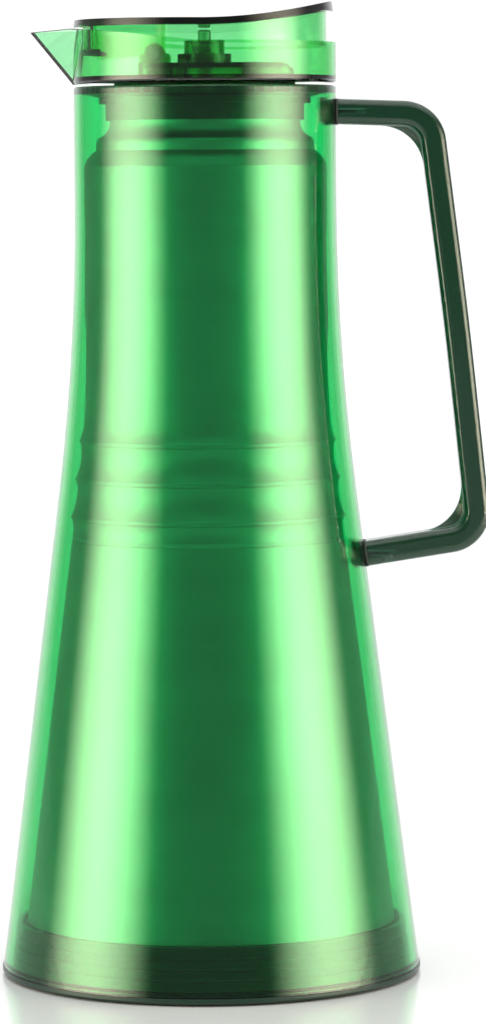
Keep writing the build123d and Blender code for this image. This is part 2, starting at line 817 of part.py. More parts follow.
def under_cap(drop):
    """Everything below the cap's top, lowered by a drop."""
    edges, front, rear = cap_profile(drop)
    edges += Polyline(rear, (rear[0], 0), (front[0], 0), front).edges()
    return extrude(Plane.XZ * make_face(edges), cap_radius + PAST, both=True)


def cap_plate():
    """Curved top plate with a leaning edge and a deeper thumb edge at the rear."""
    top = cap_middle_top + cap_rear_rise + PAST
    foot = cap_underside - PAST
    lean = cap_draft * (top - cap_underside)
    puck = turned((0, foot), (cap_radius, foot), (cap_radius - lean, top), (0, top))
    plate = puck & under_cap(0)
    tab_underside = cap_underside + tab_underside_rise + cap_thickness
    hollow = under_cap(cap_thickness) & block((-FAR, FAR), (-FAR, FAR), (0, tab_underside))
    return plate - hollow


def skirt_segment(start, end, foot_front, foot_rear):
    """Part of the cap's skirt between two X limits, over a sloping lower edge."""
    wall = tube(skirt_radius - skirt_wall, skirt_radius, ring_foot, cap_middle_top + cap_rear_rise)
    wall = wall & under_cap(cap_thickness / 2)
    keep = slab(FAR, (start, foot_front), (end, foot_rear), (end, FAR), (start, FAR))
    return wall & keep


def cap():
    front_foot = cap_front_top - front_skirt_drop
    rear_foot = cap_middle_top - rear_skirt_drop
    body = cap_plate()
    body += skirt_segment(-cap_radius, front_skirt_end, front_foot, front_foot)
    body += skirt_segment(rear_skirt_start, cap_radius, rear_foot, rear_foot - rear_skirt_fall)
    body += mirrored(cap_lug())
    return body - cross_rod(pivot_radius + pivot_clearance, cap_radius, pivot_x, pivot_z)


def cap_lug():
    """Side plate under the cap, from the pivot forward to the front skirt."""
    inner = lug_outer - lug_thickness
    web = slab(
        lug_thickness / 2,
        (front_skirt_end - 2 * skirt_wall, cap_front_top - cap_thickness / 2),
        (front_skirt_end - 2 * skirt_wall, cap_front_top - front_skirt_drop),
        (front_skirt_end, cap_front_top - front_skirt_drop),
        (front_skirt_end + skirt_wall, cap_front_top - web_foot_drop),
        (pivot_x - lug_half_length, pivot_z),
        (pivot_x + lug_half_length, pivot_z),
        (pivot_x + lug_half_length, cap_middle_top - cap_thickness / 2),
    )
    knuckle = cross_rod(lug_radius, lug_thickness / 2, pivot_x, pivot_z)
    return Pos(0, inner + lug_thickness / 2, 0) * (web + knuckle)


def spout_seal():
    """Soft strip along the lower edge of the cap's front skirt."""
    top = cap_front_top - front_skirt_drop
    wall = tube(skirt_radius - 2 * skirt_wall, skirt_radius, top - seal_height, top)
    return wall & block((-FAR, front_skirt_end), (-FAR, FAR), (0, FAR))


def plunger_parts():
    """Heights along the plunger: underside of its flange, its top and the clip's foot."""
    flange_foot = deck_top + spring_length
    top = cap_underside - plunger_top_gap
    valve_foot = stopper_foot - seal_gap - seal_thickness - valve_thickness
    return flange_foot, top, valve_foot - clip_thickness


def plunger():
    flange_foot, top, clip_foot = plunger_parts()
    stem = disc(stem_radius, clip_foot - stem_tail, top)
    stem = fillet(stem.edges().group_by(Axis.Z)[-1], plunger_top_rounding)
    stem += disc(plunger_flange_radius, flange_foot, flange_foot + plunger_flange_thickness)
    return stem - tube(clip_groove_radius, FAR, clip_foot, clip_foot + clip_thickness)


def valve_spring():
    rise = spring_length - 2 * spring_wire
    foot = deck_top + spring_wire
    path = Helix(pitch=rise / spring_turns, height=rise, radius=spring_radius, center=(0, 0, foot))
    start = Plane(origin=path @ 0, z_dir=path % 0)
    return sweep(start * Circle(spring_wire), path=path, is_frenet=True)


def valve_disc():
    top = stopper_foot - seal_gap - seal_thickness
    return tube(stem_radius, valve_radius, top - valve_thickness, top)


def valve_seal():
    top = stopper_foot - seal_gap
    return tube(seal_inner, seal_outer, top - seal_thickness, top)


def stem_clip():
    foot = plunger_parts()[2]
    ring = tube(clip_groove_radius, clip_radius, foot, foot + clip_thickness)
    return ring - block((0, FAR), (-clip_groove_radius, clip_groove_radius), (0, FAR))


def pieces():
    """Every piece by its node's name."""
    upper, lower = arm_roots()
    return {
        "outer_shell": outer_shell(),
        "base_cap": base_cap(),
        "base_gasket": base_gasket(),
        "foot_pad": foot_pad(),
        "liner_cushion": liner_cushion(),
        "liner_outer_wall": liner_outer_wall(),
        "liner_inner_wall": liner_inner_wall(),
        "liner_base_plate": liner_base_plate(),
        "vacuum_plug": vacuum_plug(),
        "getter": getter(),
        "neck_collar": neck_collar(),
        "neck_gasket": neck_gasket(),
        "handle": handle(),
        "upper_handle_gasket": handle_gasket_at(*upper),
        "lower_handle_gasket": handle_gasket_at(*lower),
        "upper_handle_anchor": handle_anchor(upper[1], upper_anchor_depth),
        "lower_handle_anchor": handle_anchor(lower[1], lower_anchor_depth),
        "handle_screws": handle_screws(),
        "pour_ring": pour_ring(),
        "stopper": stopper(),
        "lid_gasket": lid_gasket(),
        "deck": deck(),
        "deck_screws": deck_screws(),
        "spring_housing": spring_housing(),
        "pivot_pin": pivot_pin(),
        "cap": cap(),
        "spout_seal": spout_seal(),
        "plunger": plunger(),
        "valve_spring": valve_spring(),
        "valve_disc": valve_disc(),
        "valve_seal": valve_seal(),
        "stem_clip": stem_clip(),
    }


os.makedirs("parts", exist_ok=True)
for node, shape in pieces().items():
    shape.label = node
    export_step(shape, f"parts/{node}.step")
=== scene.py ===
"""Looks of a large insulated water jug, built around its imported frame.

Everything is in metres in the frame's own axes: +Z is up the jug's axis, the handle is on +X and
the spout on -X. Each sub-assembly is a class that dresses the frame's nodes and makes the soft and
fine pieces that the frame holds only as plain solids.
"""

import logging
from collections.abc import Sequence
from dataclasses import dataclass, field
from enum import Enum
from functools import cached_property
from math import asin, cos, hypot, pi, radians, sin, sqrt, tau

import bmesh
import bpy
from mathutils import Matrix, Vector
from mathutils.bvhtree import BVHTree


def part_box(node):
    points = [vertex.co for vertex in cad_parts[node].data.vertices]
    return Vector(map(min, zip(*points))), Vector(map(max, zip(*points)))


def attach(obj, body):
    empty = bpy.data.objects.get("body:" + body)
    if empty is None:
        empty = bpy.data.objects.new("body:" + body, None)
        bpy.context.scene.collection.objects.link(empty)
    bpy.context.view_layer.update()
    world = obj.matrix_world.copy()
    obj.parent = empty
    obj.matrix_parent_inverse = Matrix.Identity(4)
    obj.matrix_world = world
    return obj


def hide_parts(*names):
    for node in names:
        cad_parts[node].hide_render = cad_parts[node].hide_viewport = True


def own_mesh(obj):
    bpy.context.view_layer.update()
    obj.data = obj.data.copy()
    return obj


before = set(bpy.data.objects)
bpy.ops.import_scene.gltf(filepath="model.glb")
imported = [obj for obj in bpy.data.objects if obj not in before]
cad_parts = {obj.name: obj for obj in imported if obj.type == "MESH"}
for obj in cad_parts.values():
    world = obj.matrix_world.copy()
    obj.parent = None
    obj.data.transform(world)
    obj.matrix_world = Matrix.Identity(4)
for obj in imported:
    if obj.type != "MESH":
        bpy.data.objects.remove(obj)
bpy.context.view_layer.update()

LOG = logging.getLogger("water_jug")
SHARP_ANGLE = radians(38.0)
RING_STEPS = 192
WAVE_STEPS = 10
SKIN_BUMP = 0.00002
SHANK_SHARE = 0.52

Tree = bpy.types.NodeTree
Socket = bpy.types.NodeSocket
Piece = bpy.types.Object
Colour = tuple[float, float, float]
Point = tuple[float, float]
Section = list[Point]


# ---- shader wiring


class Wiring:
    """Adds and links the nodes of one material, world or node group."""

    def __init__(self, tree: Tree) -> None:
        """Keeps the tree that the nodes go into."""
        self.tree = tree

    def add(
        self, kind: str, inputs: dict[str | int, object] | None = None, **settings: object
    ) -> bpy.types.Node:
        """Adds a node.

        Args:
            kind: the node's type, without the ShaderNode prefix.
            inputs: values or other nodes' output sockets, by input name or number.
            settings: the node's own properties.

        Returns:
            The new node.
        """
        node = self.tree.nodes.new("ShaderNode" + kind)
        for name, value in settings.items():
            setattr(node, name, value)
        for name, value in (inputs or {}).items():
            self.feed(node.inputs[name], value)
        return node

    def feed(self, socket: Socket, value: object) -> None:
        """Links an output socket to an input, or sets the input's own value."""
        if isinstance(value, Socket):
            self.tree.links.new(value, socket)
        elif isinstance(value, tuple) and len(value) == 3 and socket.type == "RGBA":
            socket.default_value = (*value, 1.0)
        else:
            socket.default_value = value

    def maths(self, operation: str, *values: object, clamp: bool = False) -> Socket:
        """Adds a Math node and returns its output."""
        node = self.add("Math", dict(enumerate(values)), operation=operation, use_clamp=clamp)
        return node.outputs[0]

    def spread(self, value: object, low: float, high: float, to_low: float, to_high: float) -> Socket:
        """Maps a value from one range to another, clamped, and returns the output."""
        names = ("Value", "From Min", "From Max", "To Min", "To Max")
        node = self.add("MapRange", dict(zip(names, (value, low, high, to_low, to_high))), clamp=True)
        return node.outputs["Result"]

    def noise(self, place: object, scale: object, detail: float = 2.0) -> Socket:
        """Adds a noise texture and returns its value."""
        node = self.add("TexNoise", {"Vector": place, "Scale": scale, "Detail": detail})
        return node.outputs[0]

    def stretched(self, place: object, stretch: Colour) -> Socket:
        """Multiplies a place by a stretch along each axis and returns it."""
        node = self.add("VectorMath", {0: place, 1: stretch}, operation="MULTIPLY")
        return node.outputs[0]


class GroupMaker:
    """Builds one shader node group from its named inputs and outputs."""

    def __init__(self, name: str, inputs: dict[str, object], outputs: Sequence[str]) -> None:
        """Makes the empty group.

        Args:
            name: the group's name.
            inputs: each input's default; "Place" has none and is a vector.
            outputs: names of the values that the group puts out.
        """
        self.tree = bpy.data.node_groups.new(name, "ShaderNodeTree")
        for label, default in inputs.items():
            kind = "NodeSocketVector" if label == "Place" else "NodeSocketFloat"
            socket = self.tree.interface.new_socket(label, in_out="INPUT", socket_type=kind)
            if default is not None:
                socket.default_value = default
        for label in outputs:
            self.tree.interface.new_socket(label, in_out="OUTPUT", socket_type="NodeSocketFloat")
        self.wiring = Wiring(self.tree)
        self.source = self.tree.nodes.new("NodeGroupInput").outputs
        self.sink = self.tree.nodes.new("NodeGroupOutput").inputs

    def put_out(self, name: str, value: Socket) -> None:
        """Links a value to one of the group's outputs."""
        self.tree.links.new(value, self.sink[name])


@dataclass
class Effects:
    """The surface effects that several finishes share, as node groups.

    Scales count a texture's cells in a metre.
    """

    scratch_scale: float = 900.0
    smudge_scale: float = 35.0
    wave_scale: float = 60.0
    patch_scale: float = 260.0
    band_scale: float = 130.0
    blotch_scale: float = 22.0
    bloom_scale: float = 90.0

    @cached_property
    def handling(self) -> Tree:
        """Hairline scratches, faint smudges and slight mould waviness of handled plastic."""
        group = GroupMaker(
            "handling_marks",
            {"Place": None, "Scratches": 0.5, "Smudges": 0.5},
            ("Roughness Shift", "Height", "Tone"),
        )
        wire, source = group.wiring, group.source
        long_way = wire.stretched(source["Place"], (1.0, 1.0, 0.06))
        short_way = wire.stretched(source["Place"], (0.08, 1.0, 1.0))
        lines = [wire.noise(place, self.scratch_scale, 1.0) for place in (long_way, short_way)]
        hair = [wire.spread(line, 0.68, 0.74, 0.0, 1.0) for line in lines]
        scratch = wire.maths("MULTIPLY", wire.maths("MAXIMUM", *hair), source["Scratches"])
        cloud = wire.noise(source["Place"], self.smudge_scale, 4.0)
        smudge = wire.maths("MULTIPLY", wire.spread(cloud, 0.5, 0.72, 0.0, 1.0), source["Smudges"])
        wave = wire.noise(source["Place"], self.wave_scale, 1.0)
        shift = wire.maths("ADD", wire.maths("MULTIPLY", scratch, 0.12), wire.maths("MULTIPLY", smudge, 0.05))
        group.put_out("Roughness Shift", shift)
        group.put_out("Height", wire.maths("SUBTRACT", wire.maths("MULTIPLY", wave, 0.5), scratch))
        group.put_out("Tone", wire.spread(cloud, 0.3, 0.75, 0.94, 1.04))
        return group.tree

    @cached_property
    def wear(self) -> Tree:
        """Patchy rubbing along outer edges."""
        group = GroupMaker("edge_wear", {"Place": None, "Reach": 0.5}, ("Mask",))
        wire, source = group.wiring, group.source
        point = wire.add("NewGeometry").outputs["Pointiness"]
        edge = wire.spread(point, 0.52, 0.62, 0.0, 1.0)
        patch = wire.spread(wire.noise(source["Place"], self.patch_scale, 3.0), 0.42, 0.66, 0.0, 1.0)
        rubbed = wire.maths("MULTIPLY", wire.maths("MULTIPLY", edge, patch), source["Reach"], clamp=True)
        group.put_out("Mask", rubbed)
        return group.tree

    @cached_property
    def turning(self) -> Tree:
        """Fine lines that run round the jug's axis, as spinning and brushing leave them."""
        group = GroupMaker(
            "turning_lines",
            {"Place": None, "Lines": 4000.0, "Depth": 1.0},
            ("Height", "Tone", "Roughness Shift"),
        )
        wire, source = group.wiring, group.source
        parts = wire.add("SeparateXYZ", {"Vector": source["Place"]}).outputs
        squares = [wire.maths("MULTIPLY", parts[axis], parts[axis]) for axis in "XY"]
        radius = wire.maths("SQRT", wire.maths("ADD", *squares))
        turn = wire.maths("ARCTAN2", parts["Y"], parts["X"])
        drift = wire.maths("MULTIPLY", turn, 0.0006)
        level = wire.maths("ADD", parts["Z"], wire.maths("MULTIPLY", radius, 0.6))
        around = wire.add("CombineXYZ", {"X": drift, "Y": level, "Z": 0.0}).outputs[0]
        lines = wire.noise(around, source["Lines"], 3.0)
        upwards = wire.add("CombineXYZ", {"X": 0.0, "Y": level, "Z": 0.0}).outputs[0]
        bands = wire.noise(upwards, self.band_scale, 2.0)
        blotch = wire.noise(source["Place"], self.blotch_scale, 3.0)
        group.put_out("Height", wire.maths("MULTIPLY", lines, source["Depth"]))
        group.put_out("Tone", wire.spread(bands, 0.3, 0.7, 0.95, 1.0))
        fine = wire.spread(lines, 0.3, 0.7, -0.03, 0.04)
        coarse = wire.spread(blotch, 0.35, 0.7, 0.0, 0.03)
        group.put_out("Roughness Shift", wire.maths("ADD", fine, coarse))
        return group.tree

    @cached_property
    def grain(self) -> Tree:
        """Fine matt grain with a bloom of lighter patches."""
        group = GroupMaker("fine_grain", {"Place": None, "Scale": 3000.0}, ("Height", "Tone"))
        wire, source = group.wiring, group.source
        group.put_out("Height", wire.noise(source["Place"], source["Scale"], 2.0))
        bloom = wire.noise(source["Place"], self.bloom_scale, 4.0)
        group.put_out("Tone", wire.spread(bloom, 0.3, 0.75, 0.8, 1.5))
        return group.tree

    @cached_property
    def parting(self) -> Tree:
        """Hair-thin ridge where the two halves of a mould meet, in the plane of symmetry."""
        group = GroupMaker("parting_line", {"Place": None, "Width": 0.00012}, ("Height",))
        wire, source = group.wiring, group.source
        parts = wire.add("SeparateXYZ", {"Vector": source["Place"]}).outputs
        away = wire.maths("ABSOLUTE", parts["Y"])
        ridge = wire.maths("SUBTRACT", 1.0, wire.maths("DIVIDE", away, source["Width"]), clamp=True)
        group.put_out("Height", ridge)
        return group.tree


class Material:
    """A new material with its Principled BSDF, and the ways to place effects in it."""

    def __init__(self, name: str) -> None:
        """Makes the material with an empty surface."""
        self.material = bpy.data.materials.new(name)
        self.material.use_nodes = True
        tree = self.material.node_tree
        tree.nodes.clear()
        self.wire = Wiring(tree)
        self.output = self.wire.add("OutputMaterial")
        self.surface = self.wire.add("BsdfPrincipled")
        self.wire.feed(self.output.inputs["Surface"], self.surface.outputs[0])
        self.place = self.wire.add("TexCoord").outputs["Object"]

    def effect(self, tree: Tree, **values: float) -> bpy.types.NodeOutputs:
        """Places an effect's group with this material's own values and returns its outputs."""
        node = self.wire.tree.nodes.new("ShaderNodeGroup")
        node.node_tree = tree
        self.wire.feed(node.inputs["Place"], self.place)
        for name, value in values.items():
            self.wire.feed(node.inputs[name], value)
        return node.outputs

    def bump(self, height: Socket, distance: float, strength: float = 1.0) -> None:
        """Feeds a height to the surface's normal."""
        node = self.wire.add("Bump", {"Height": height, "Distance": distance, "Strength": strength})
        self.wire.feed(self.surface.inputs["Normal"], node.outputs[0])

    def tint(self, colour: Colour, tone: Socket) -> Socket:
        """Returns a colour that a tone makes lighter or darker over the surface."""
        node = self.wire.add("VectorMath", {0: colour, "Scale": tone}, operation="SCALE")
        return node.outputs[0]

    def mixed(self, mask: Socket, plain: object, worn: object) -> Socket:
        """Returns a colour that goes from plain to worn with a mask."""
        node = self.wire.add("Mix", {0: mask}, data_type="RGBA")
        self.wire.feed(node.inputs[6], plain)
        self.wire.feed(node.inputs[7], worn)
        return node.outputs[2]

    def set(self, **values: object) -> None:
        """Sets the surface's plain sockets; underscores in a name stand for spaces."""
        for name, value in values.items():
            self.wire.feed(self.surface.inputs[name.replace("_", " ")], value)


# ---- finishes


@dataclass(frozen=True)
class Surface:
    """A finish, which lays itself on a new material of its own name."""

    name: str

    def build(self, effects: Effects) -> bpy.types.Material:
        """Makes the material."""
        made = Material(self.name)
        self.lay(made, effects)
        return made.material


@dataclass(frozen=True)
class ClearPlastic(Surface):
    """Polished see-through plastic with dye in its body, so that it deepens with thickness."""

    passes: Colour
    dye: float
    roughness: float = 0.02
    scratches: float = 0.3
    smudges: float = 0.5
    parting_line: bool = False

    def lay(self, made: Material, effects: Effects) -> None:
        """Wires the material."""
        marks = made.effect(effects.handling, Scratches=self.scratches, Smudges=self.smudges)
        made.set(IOR=1.58, Transmission_Weight=1.0)
        made.set(Base_Color=made.tint((1.0, 1.0, 1.0), made.wire.maths("MINIMUM", marks["Tone"], 1.0)))
        made.set(Roughness=made.wire.maths("ADD", marks["Roughness Shift"], self.roughness))
        height = marks["Height"]
        if self.parting_line:
            seam = made.effect(effects.parting)["Height"]
            height = made.wire.maths("ADD", height, made.wire.maths("MULTIPLY", seam, 3.0))
        made.bump(height, SKIN_BUMP, 0.5)
        body = made.wire.add("VolumeAbsorption", {"Color": self.passes, "Density": self.dye})
        made.wire.feed(made.output.inputs["Volume"], body.outputs[0])


@dataclass(frozen=True)
class DarkPlastic(Surface):
    """Moulded plastic that light doesn't pass, smooth or with fine rings round its axis."""

    colour: Colour
    worn_colour: Colour
    roughness: float = 0.3
    scratches: float = 0.3
    rubbed: float = 0.5
    rings: float = 0.0
    ring_lines: float = 700.0

    def lay(self, made: Material, effects: Effects) -> None:
        """Wires the material."""
        marks = made.effect(effects.handling, Scratches=self.scratches, Smudges=0.6)
        worn = made.effect(effects.wear, Reach=self.rubbed)["Mask"]
        made.set(Base_Color=made.mixed(worn, made.tint(self.colour, marks["Tone"]), self.worn_colour))
        rough = made.wire.maths("ADD", marks["Roughness Shift"], self.roughness)
        made.set(Roughness=made.wire.maths("ADD", rough, made.wire.maths("MULTIPLY", worn, 0.15)))
        made.set(IOR=1.5)
        turned = made.effect(effects.turning, Lines=self.ring_lines, Depth=self.rings)
        made.bump(made.wire.maths("ADD", marks["Height"], turned["Height"]), SKIN_BUMP, 0.5)


@dataclass(frozen=True)
class TurnedSteel(Surface):
    """Stainless steel with the fine lines of spinning, brushing or polishing round its axis."""

    colour: Colour
    roughness: float
    lines: float
    depth: float

    def lay(self, made: Material, effects: Effects) -> None:
        """Wires the material."""
        turned = made.effect(effects.turning, Lines=self.lines, Depth=1.0)
        made.set(Metallic=1.0, Base_Color=made.tint(self.colour, turned["Tone"]))
        made.set(Roughness=made.wire.maths("ADD", turned["Roughness Shift"], self.roughness))
        made.bump(turned["Height"], self.depth, 0.6)


@dataclass(frozen=True)
class WireSteel(Surface):
    """Bright stainless wire, pins and screws, with drawing marks and worn high spots."""

    colour: Colour
    roughness: float

    def lay(self, made: Material, effects: Effects) -> None:
        """Wires the material."""
        marks = made.effect(effects.handling, Scratches=1.0, Smudges=0.8)
        worn = made.effect(effects.wear, Reach=0.8)["Mask"]
        made.set(Metallic=1.0)
        made.set(Base_Color=made.mixed(worn, made.tint(self.colour, marks["Tone"]), (0.8, 0.8, 0.78)))
        made.set(Roughness=made.wire.maths("ADD", marks["Roughness Shift"], self.roughness))
        made.bump(marks["Height"], 0.00001, 0.6)


@dataclass(frozen=True)
class Silicone(Surface):
    """Soft moulded silicone or rubber with a matt grain."""

    colour: Colour
    roughness: float
    grain_size: float

    def lay(self, made: Material, effects: Effects) -> None:
        """Wires the material."""
        grain = made.effect(effects.grain, Scale=1.0 / self.grain_size)
        worn = made.effect(effects.wear, Reach=0.4)["Mask"]
        light = tuple(min(1.0, part * 3.0 + 0.03) for part in self.colour)
        made.set(Base_Color=made.mixed(worn, made.tint(self.colour, grain["Tone"]), light))
        smooth, matt = self.roughness - 0.06, self.roughness + 0.1
        made.set(Roughness=made.wire.spread(grain["Tone"], 0.8, 1.5, smooth, matt))
        made.set(IOR=1.42, Sheen_Weight=0.15, Sheen_Roughness=0.4)
        made.bump(grain["Height"], 0.00003, 0.5)


@dataclass(frozen=True)
class CellFoam(Surface):
    """Closed-cell foam with open cells where it was cut; each cell's pit is painted darker, as painted shade,
    and its rim lighter.
    """

    colour: Colour
    cell_size: float

    def lay(self, made: Material, effects: Effects) -> None:
        """Wires the material."""
        cells = made.wire.add("TexVoronoi", {"Vector": made.place, "Scale": 1.0 / self.cell_size})
        depth = cells.outputs["Distance"]
        # Painted shade in the cells' pits and painted light on their rims: the colour follows the bump's
        # depth.
        tone = made.wire.spread(depth, 0.0, 0.6, 0.6, 1.4)
        made.set(Base_Color=made.tint(self.colour, tone))
        made.set(Roughness=made.wire.spread(depth, 0.0, 0.6, 0.95, 0.8))
        made.bump(depth, 0.0003, 0.8)


@dataclass(frozen=True)
class PressedPowder(Surface):
    """Matt grey powder pressed into a pill."""

    colour: Colour

    def lay(self, made: Material, effects: Effects) -> None:
        """Wires the material."""
        grain = made.effect(effects.grain, Scale=5000.0)
        made.set(Base_Color=made.tint(self.colour, grain["Tone"]))
        made.set(Roughness=made.wire.spread(grain["Height"], 0.3, 0.7, 0.8, 1.0))
        made.bump(grain["Height"], 0.00008, 0.8)


@dataclass(frozen=True)
class PaleFloor(Surface):
    """Smooth pale table top that mirrors softly at low angles."""

    name: str = "pale_table"
    colour: Colour = (0.76, 0.78, 0.80)
    tone: Point = (0.985, 1.0)
    roughness: Point = (0.11, 0.14)
    cloud_scale: float = 6.0

    def lay(self, made: Material, effects: Effects) -> None:
        """Wires the material."""
        cloud = made.wire.noise(made.place, self.cloud_scale, 3.0)
        made.set(Base_Color=made.tint(self.colour, made.wire.spread(cloud, 0.3, 0.7, *self.tone)))
        made.set(Roughness=made.wire.spread(cloud, 0.3, 0.7, *self.roughness))
        made.set(IOR=1.8)


class Finish(Enum):
    """The finishes of this jug's pieces."""

    SHELL = ClearPlastic("clear_green_shell", (0.0, 0.915, 0.56), 720.0)
    LID = ClearPlastic("clear_green_lid", (0.0, 0.86, 0.27), 560.0, smudges=0.4)
    DECK = ClearPlastic("clear_green_deck", (0.0, 0.76, 0.32), 1200.0, roughness=0.16)
    STEM = ClearPlastic("clear_green_stem", (0.0, 0.62, 0.28), 620.0, roughness=0.16)
    HANDLE = ClearPlastic("bottle_green_handle", (0.0, 0.42, 0.24), 480.0, roughness=0.08, parting_line=True)
    BASE = DarkPlastic("dark_green_base", (0.0005, 0.024, 0.012), (0.008, 0.06, 0.03), rubbed=0.1, rings=14.0)
    COLLAR = DarkPlastic(
        "black_green_collar", (0.004, 0.014, 0.008), (0.06, 0.08, 0.07), roughness=0.38, rings=4.0
    )
    RUBBER = Silicone("black_silicone", (0.012, 0.015, 0.013), 0.55, 0.00025)
    FOAM = CellFoam("liner_foam", (0.03, 0.05, 0.04), 0.0009)
    LINER = TurnedSteel("satin_liner_steel", (0.40, 0.41, 0.41), 0.46, 5200.0, 0.000004)
    WATER_SIDE = TurnedSteel("polished_liner_steel", (0.66, 0.66, 0.66), 0.18, 2600.0, 0.000006)
    FASTENER = WireSteel("bright_fastener_steel", (0.55, 0.55, 0.56), 0.22)
    GETTER = PressedPowder("getter_powder", (0.18, 0.17, 0.16))
    FLOOR = PaleFloor()


@dataclass
class Finishes:
    """Makes each finish's material the first time that a piece asks for it."""

    effects: Effects = field(default_factory=Effects)
    made: dict[Finish, bpy.types.Material] = field(default_factory=dict)

    def material(self, finish: Finish) -> bpy.types.Material:
        """Returns the material of a finish."""
        if finish not in self.made:
            self.made[finish] = finish.value.build(self.effects)
        return self.made[finish]

    def dress(self, finish: Finish, *nodes: str) -> None:
        """Gives a finish to nodes of the frame, in their own material slots."""
        for name in nodes:
            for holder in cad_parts[name].material_slots:
                holder.material = self.material(finish)
            LOG.info("%s: %s", name, finish.name.lower())

    def place(self, piece: Piece, finish: Finish, body: str, slot: str, stands_for: str) -> None:
        """Dresses a new piece, puts it on its body and hides the node of the frame that it stands for.

        Args:
            piece: the new piece.
            finish: the piece's finish.
            body: body of the frame that it rides on.
            slot: the record's material slot; not used.
            stands_for: node of the frame that it is shown in place of.
        """
        piece.data.materials.append(self.material(finish))
        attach(piece, body)
        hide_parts(stands_for)
        LOG.info("%s: made, rides on %s", piece.name, body)


# ---- measuring the frame


def node_points(name: str) -> list[Vector]:
    """Returns the corners of a frame node's mesh, in the frame's axes."""
    return [corner.co.copy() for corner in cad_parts[name].data.vertices]


@dataclass(frozen=True)
class RingSpace:
    """The space of a ring-shaped node about the jug's axis."""

    inner: float
    outer: float
    low: float
    high: float

    @classmethod
    def of(cls, node: str) -> "RingSpace":
        """Measures a node of the frame."""
        low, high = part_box(node)
        radii = [corner.xy.length for corner in node_points(node)]
        return cls(min(radii), max(radii), low.z, high.z)


def separate_solids(node: str) -> list[tuple[Vector, Vector]]:
    """Finds the loose solids of a node.

    Args:
        node: name of a node that holds several like solids.

    Returns:
        The lowest and highest corner of each, ordered by place.
    """
    mesh = bmesh.new()
    mesh.from_mesh(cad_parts[node].data)
    bmesh.ops.remove_doubles(mesh, verts=mesh.verts, dist=1e-6)
    left = set(mesh.verts)
    found = []
    while left:
        group, edge = set(), [left.pop()]
        while edge:
            corner = edge.pop()
            group.add(corner)
            near = {link.other_vert(corner) for link in corner.link_edges} & left
            left -= near
            edge.extend(near)
        low = Vector(min(corner.co[axis] for corner in group) for axis in range(3))
        high = Vector(max(corner.co[axis] for corner in group) for axis in range(3))
        found.append((low, high))
    mesh.free()
    return sorted(found, key=lambda box: tuple(round(part, 5) for part in box[0]))


def polar(radius: float, angle: float, height: float) -> Vector:
    """Returns the point at a radius, an angle and a height about the jug's axis."""
    return Vector((radius * cos(angle), radius * sin(angle), height))


class ShellSurface:
    """Radius of the shell's outside at each height."""

    def __init__(self) -> None:
        """Prepares the shell's mesh for measuring."""
        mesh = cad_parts["outer_shell"].data
        faces = [tuple(face.vertices) for face in mesh.polygons]
        self.tree = BVHTree.FromPolygons([corner.co for corner in mesh.vertices], faces)
        self.reach = max(abs(part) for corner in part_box("outer_shell") for part in corner) * 2

    def radius(self, height: float) -> float:
        """Returns the outside radius at a height, measured on the side away from the handle's holes."""
        hit = self.tree.ray_cast(Vector((0.0, -self.reach, height)), Vector((0.0, 1.0, 0.0)))[0]
        return -hit.y

    def ahead(self, across: float, height: float) -> float:
        """Returns X of the shell's outside on the handle's side at a place across and up."""
        return sqrt(self.radius(height) ** 2 - across**2)


# ---- mesh making


def new_piece(name: str, mesh: bmesh.types.BMesh, sharp: float = SHARP_ANGLE) -> Piece:
    """Turns a finished bmesh into a smooth-shaded object.

    Args:
        name: the piece's name.
        mesh: the mesh, which is used up.
        sharp: edges that bend more than this stay crisp.

    Returns:
        The object, linked to the scene.
    """
    bmesh.ops.recalc_face_normals(mesh, faces=mesh.faces)
    for face in mesh.faces:
        face.smooth = True
    for edge in mesh.edges:
        edge.smooth = not edge.is_manifold or edge.calc_face_angle(0.0) < sharp
    data = bpy.data.meshes.new(name)
    mesh.to_mesh(data)
    mesh.free()
    made = bpy.data.objects.new(name, data)
    bpy.context.scene.collection.objects.link(made)
    return made


def loft(
    name: str, rings: Sequence[Sequence[Vector]], closed: bool = True, capped: bool = False
) -> Piece:
    """Skins a row of rings that each have the same number of points.

    Args:
        name: the piece's name.
        rings: the points of each ring, in order round it.
        closed: whether the last ring joins the first.
        capped: whether the first and last ring are filled.

    Returns:
        The object.
    """
    mesh = bmesh.new()
    rows = [[mesh.verts.new(point) for point in ring] for ring in rings]
    pairs = list(zip(rows, rows[1:])) + ([(rows[-1], rows[0])] if closed else [])
    for first, second in pairs:
        for step in range(len(first)):
            after = (step + 1) % len(first)
            mesh.faces.new((first[step], first[after], second[after], second[step]))
    if capped:
        mesh.faces.new(rows[0])
        mesh.faces.new(rows[-1])
    bmesh.ops.remove_doubles(mesh, verts=mesh.verts, dist=1e-7)
    return new_piece(name, mesh)


def turned(name: str, section: Section, start: float = 0.0, sweep: float = tau) -> Piece:
    """Turns a closed section about the jug's axis, all the way or over part of a turn.

    Args:
        name: the piece's name.
        section: (radius, height) points.
        start: angle where a part turn begins.
        sweep: angle that it covers.

    Returns:
        The object.
    """
    whole = sweep >= tau
    steps = RING_STEPS if whole else max(8, int(RING_STEPS * sweep / tau))
    count = steps if whole else steps + 1
    rings = []
    for step in range(count):
        angle = start + sweep * step / steps
        rings.append([polar(radius, angle, height) for radius, height in section])
    return loft(name, rings, closed=whole, capped=not whole)


